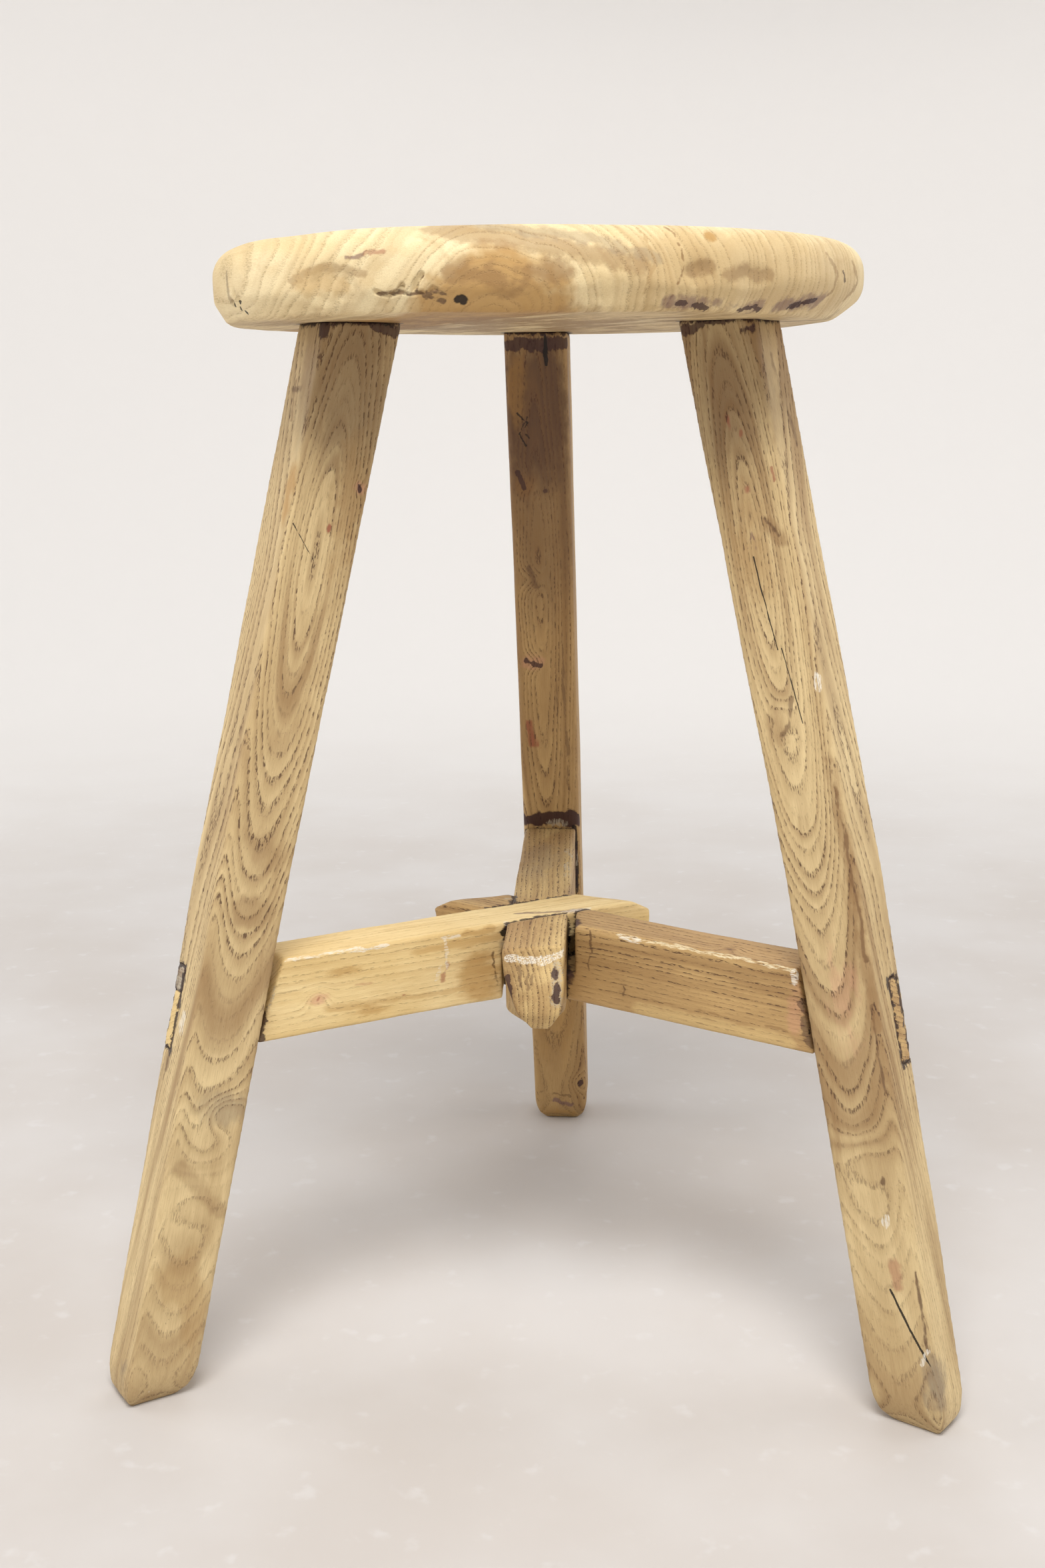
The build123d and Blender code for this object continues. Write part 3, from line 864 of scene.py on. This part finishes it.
right_bar_wood = elm(
    "right_bar_elm",
    bar_place("stretcher_right"),
    ("tan", "fawn", "brown"),
    heart=(24, 80),
    ring=2.0,
    bands=0.8,
    seed=5,
    knots=[((-6, 38, 114), 6, 2)],
    marks=[
        ("honey", 0.5, [(-14, 3, 70), (-14, 3, 150)], 4.5, 0.3),
        ("brown", 0.5, [(-14, 10, 50), (-14, 8, 150)], 0.7, 0.4),
        ("cream", 0.85, [(-14, 37.6, 62), (-14, 37.6, 150)], (1.5, 0.9, 5), 0.9),
        ("chalk", 0.85, [(-14, 37, 59), (-14, 37, 70)], 1.5, 0.7),
        ("brown", 0.6, [(-5, 38, 114)], 3.2, 0.4),
        ("umber", 0.8, [(-5, 38, 114)], 1.3, 0.4),
        ("umber", 0.75, [(-14, 37, 41), (-14, 28, 42), (-14, 18, 40)], 0.8, 0.4),
        ("fawn", 0.6, [(-14, 11, 61)], (2, 5, 3.5), 0.8),
        ("umber", 0.8, [(-14, 13, 61), (-14, 8, 60.5)], 0.7, 0.3),
        ("lacquer", 0.6, [(-14, 22, 160), (-14, 4, 163)], 3.6, 0.7),
        ("pink", 0.4, [(-14, 18, 154)], (2, 14, 4), 0.6),
        ("chalk", 0.8, [(-14, 35, 153)], (2, 4, 2), 0.6),
        # painted shade: a black line along the crevice where the bar's shoulder meets the leg
        ("black", 0.9, [(-14, 40, 156), (-14, 0, 165)], 1.1, 0.3),
        # old lacquer on the notch wall beside the front stub, darkened further as painted shade in that gap
        ("lacquer", 0.9, [(-10, 36, 21), (-10, 4, 21)], (9, 5, 9), 0.3),
        ("putty", 0.6, [(12, 38, -20), (6, 38, -26)], 1.4, 0.8),
        ("lacquer", 0.9, [(-12, 35, -36), (-12, 35, -32)], 2.4, 0.5),
        ("honey", 0.6, [(0, 20, -48)], (16, 20, 5), 0.3),
    ],
)
# the pale curved chip across the end of the front stub
front_chip = [(11, 34.5, -74), (4, 32.6, -74), (-3, 32.2, -73), (-9, 33, -71), (-14, 35.5, -68)]
back_bar_wood = elm(
    "back_bar_elm",
    bar_place("stretcher_back"),
    ("honey", "fawn", "brown"),
    heart=(70, 10),
    ring=2.2,
    bands=0.8,
    seed=6,
    marks=[
        ("chalk", 0.95, front_chip, (2, 2.1, 7), 0.3),
        ("umber", 0.55, [(6.5, 30, -75), (5.5, 22, -75)], (0.9, 1, 4), 0.5),
        ("umber", 0.5, [(3, 31, -75), (2, 20, -75)], (0.7, 1, 4), 0.5),
        ("umber", 0.5, [(1, 31, -75), (0, 22, -75)], (0.6, 1, 4), 0.5),
        ("brown", 0.4, [(5, 37, -74), (5, 38, -40)], 0.8, 0.4),
        ("brown", 0.4, [(0, 37, -74), (0, 38, -36)], 0.9, 0.4),
        ("putty", 0.8, [(-11, 30, -73), (-11, 14, -74)], (2.8, 2.8, 7), 0.7),
        ("lacquer", 0.9, [(-10, 27, -73)], (1.6, 2.8, 6), 0.5),
        ("lacquer", 0.9, [(-11, 21, -74), (-11, 15, -75)], (1.9, 2, 6), 0.4),
        ("brown", 0.6, [(12, 26, -75), (9, 8, -75)], (3.2, 3.2, 7), 0.3),
        ("lacquer", 0.85, [(12, 25, -74), (9.5, 10, -75)], (1.3, 1.3, 6), 0.5),
        ("putty", 0.7, [(-12, 38, 60), (-12, 39, 140)], 2.0, 0.8),
        ("chalk", 0.75, [(-13, 41, 176), (13, 41, 176)], 0.9, 0.5),
        ("grey", 0.4, [(2, 38, 100)], (10, 6, 50), 0.4),
    ],
)
slip_wood = elm(
    "slip_elm",
    bar_place("slip_left"),
    ("grey", "putty", "brown"),
    heart=(3, -10),
    ring=1.6,
    seed=7,
    marks=[("umber", 0.6, [(-4, 30, 180)], (2, 6, 12), 0.6)],
)


def on_rim(*stops):
    """Points on the seat's edge, each given as its angle in plan and its height."""
    points = []
    for angle, height in stops:
        edge = at_angle(seat_radius, angle)
        points.append((edge.dot(at_angle(1, seat_grain + 90)), height, edge.dot(at_angle(1, seat_grain))))
    return points


galleries = [
    on_rim((-114, 8), (-112, 6), (-110, 7.5), (-108, 5.5), (-106.5, 7), (-105, 5), (-103.4, 4)),
    on_rim((-107.6, 7), (-107.2, 11), (-106.2, 14)),
    on_rim((-110, 7.5), (-109.4, 10)),
    on_rim((-106, 5.5), (-104.5, 8.4), (-103, 7)),
    on_rim((-108.8, 4), (-107.4, 3.2)),
]
borer_holes = on_rim((-149.5, 11), (-148.2, 8), (-149, 5), (-147.6, 3.4), (-151, 7))
flight_hole = on_rim((-100.4, 4))[0]
seat_wood = elm(
    "seat_elm",
    seat_place(),
    ("ivory", "wheat", "fawn"),
    heart=(-72, -3),
    ring=3.4,
    dash=0.22,
    bands=0.7,
    sway=3,
    seed=8,
    core=(27, "amber", 0.85),
    calm=((-105, 16, -104), 95, 0.8),
    spread=seat_radius,
    marks=[
        ("fawn", 0.45, on_rim((-70, 16), (-50, 16), (-25, 16)), 16, 0.25),
        ("brown", 0.6, on_rim((-101, 14), (-92, 12), (-84, 13)), 5.5, 0.5),
        # painted shade: the whole underside of the seat darkened
        ("brown", 0.75, [(0, -4, 0)], (170, 6, 170), 0.3),
        ("brown", 0.5, on_rim((-106, 33), (-96, 28), (-86, 24), (-73, 17)), 4.2, 0.5),
        ("grey", 0.5, on_rim((-98, 33), (-90, 30), (-80, 27), (-70, 19)), 2.6, 0.6),
        ("brown", 0.75, on_rim((-67.6, 32), (-66, 24), (-65.6, 17), (-66.4, 9), (-67.6, 3)), 0.7, 0.35),
        ("fawn", 0.5, on_rim((-72, 30), (-70.4, 18), (-72, 6)), 1.0, 0.5),
        ("amber", 0.8, on_rim((-60.6, 29)), 2.6, 0.4),
        ("brown", 0.55, on_rim((-64.4, 15.4), (-61, 17)), 2.6, 0.5),
        ("brown", 0.5, on_rim((-57.6, 14), (-54, 15.5), (-49, 13.5)), 3.0, 0.6),
        ("brown", 0.45, on_rim((-131, 13), (-127, 17.6), (-121, 18.4), (-116, 15)), 2.2, 0.6),
        ("tan", 0.6, on_rim((-128, 13), (-120, 12)), 5.5, 0.5),
        ("violet", 0.75, on_rim((-119.4, 21.6), (-116, 22.6)), 1.0, 0.6),
        ("red", 0.55, on_rim((-115.6, 23), (-112.4, 23)), 1.2, 0.7),
        ("violet", 0.65, on_rim((-68, 3.4), (-48, 2)), 2.6, 0.5),
        ("lacquer", 0.8, on_rim((-66, 2.6), (-60, 1.6)), 1.0, 0.9),
        ("lacquer", 0.8, on_rim((-52.6, 1.4), (-47.4, 1.4)), 1.0, 0.9),
        ("violet", 0.7, on_rim((-43, 3), (-32, 6)), 3.2, 0.5),
        ("lacquer", 0.9, on_rim((-40, 3), (-34, 5.6)), 1.5, 0.8),
        ("lacquer", 0.7, on_rim((-27.6, 18), (-26.6, 14)), 1.1, 0.8),
        ("brown", 0.5, on_rim((-34, 24), (-30, 17), (-31, 9)), 1.4, 0.6),
        ("brown", 0.5, on_rim((-22, 22), (-19, 15), (-22, 8)), 1.6, 0.6),
        ("umber", 0.5, on_rim((-153, 20), (-152, 8)), 1.8, 0.6),
        ("umber", 0.85, [line[::2] for line in galleries[:2]] + [galleries[3]], 0.9, 0.5),
        ("black", 0.9, [[hole] for hole in borer_holes], 1.1, 0.3),
        ("black", 0.95, [flight_hole], (3.0, 1.9, 3.0), 0.2),
    ],
)

make_leg("leg_left", 1, left_leg_wood)
make_leg("leg_right", 2, right_leg_wood)
make_leg("leg_back", 3, back_leg_wood)

for name, seed, wood, others in (
    ("stretcher_left", 4, left_bar_wood, ("stretcher_right", "stretcher_back", "leg_left")),
    ("stretcher_right", 5, right_bar_wood, ("stretcher_left", "stretcher_back", "leg_right")),
    ("stretcher_back", 6, back_bar_wood, ("stretcher_left", "stretcher_right", "leg_back")),
):
    bar = Carving(name, bar_place(name), bar_fineness)
    x, y, z = bar.p.T.copy()
    if name == "stretcher_back":
        reach = blend(-z, taper_start, front_tip)
        left_limit = np.interp(y, (0, 8, 26, stretcher_height), (0, 7, 13.5, 14.5))
        right_limit = np.interp(y, (0, 8, 20, stretcher_height), (-7, -13, -14.5, -14.5))
        narrow_left = np.minimum(x, x * left_limit / half_bar)
        narrow_right = np.maximum(x, -x * right_limit / half_bar)
        narrow = np.where(x > 0, narrow_left, narrow_right)
        bar.p[:, 0] = x + (narrow - x) * reach
        skew = blend(y, 18, stretcher_height) * np.clip((half_bar - x) / (2 * half_bar), 0, 1)
        bar.p[:, 2] = z + tip_skew * skew * blend(-z, 55, front_tip)
        bar.p[:, 1] += back_rise * blend(z, 90, 165) * blend(y, 15, stretcher_height)
    else:
        far_side = x if name == "stretcher_right" else -x
        share = np.clip((far_side + half_bar) / (2 * half_bar), 0, 1)
        bar.p[:, 2] = z + blend(-z, curve_start, far_tip) * curve_depth * share**1.5
        upper = blend(y, 10, stretcher_height)
        bar.p[:, 1] = y - blend(-z, lip_start, far_tip) * upper * lip_drop * share
    bar.ripple(0.4, (16, 16, 45), seed)
    bar.wear(4, 0.1, 1.1, seed + 1)
    bar.finish(wood, others)

slip = Carving("slip_left", bar_place("slip_left"), slip_fineness)
slip.wear(5, 0.3, 1.0, 9)
slip.finish(slip_wood, ("leg_left", "stretcher_left"))

seat = Carving("seat", seat_place(), seat_fineness)
seat.ripple(0.55, (40, 40, 60), 8)
x, y, z = seat.p.T.copy()
out = np.hypot(x, z)
along, across = cos(radians(seat_grain)), sin(radians(seat_grain))
angle = np.degrees(np.arctan2(z * across + x * along, z * along - x * across))
edge = blend(out, seat_radius - 26, seat_radius - 4)
# one end is worn round underneath, and a hewn ridge runs along the front
rounder = blend(angle, -75, -35) * blend(-angle, -60, -20)
lower = np.clip(1 - y / 15, 0, 1) ** 1.6
shrink = rounder * lower * 9
front = blend(-np.abs(angle + 88), -24, -12)
shrink = shrink + front * np.clip(y - 15, 0, 20) * 0.12 + front * np.clip(15 - y, 0, 20) * 0.07
shrink = shrink + 1.2 * np.clip(seat.cloud((26, 30, 26), 12), -1, 1)
seat.p[:, 0] -= x / np.maximum(out, 1) * shrink * edge
seat.p[:, 2] -= z / np.maximum(out, 1) * shrink * edge
seat.wear(8, 0.0, 0.9, 9, (14, 14, 30))
for place, size, deep in (
    (on_rim((-123, 11))[0], (18, 9, 18), 1.3),
    (on_rim((-63, 14))[0], (9, 6, 9), 1.0),
    (on_rim((-53, 13))[0], (14, 6, 14), 1.1),
    (on_rim((-37, 2))[0], (12, 5, 12), 2.0),
    (on_rim((-143, 24))[0], (14, 8, 14), 0.8),
    (on_rim((-75, 6))[0], (20, 7, 20), 0.8),
    (on_rim((60, 14))[0], (22, 9, 22), 1.4),
    (on_rim((150, 20))[0], (24, 9, 24), 1.2),
    (on_rim((105, 6))[0], (16, 7, 16), 1.3),
):
    seat.dent(place, size, deep, 3, 0.2)
seat.refine(galleries[0] + galleries[1], 9, 2)
seat.refine(on_rim((-101.6, 4), (-99.2, 4)), 6, 2)
for line in galleries:
    seat.groove(line, 1.5, 1.8, 4, 0.5)
seat.groove(on_rim((-100.9, 4), (-99.9, 4.2)), 2.4, 5)
for hole in borer_holes:
    seat.dent(hole, (2, 2, 2), 1.6)
seat.finish(seat_wood, ("leg_left", "leg_right", "leg_back"))
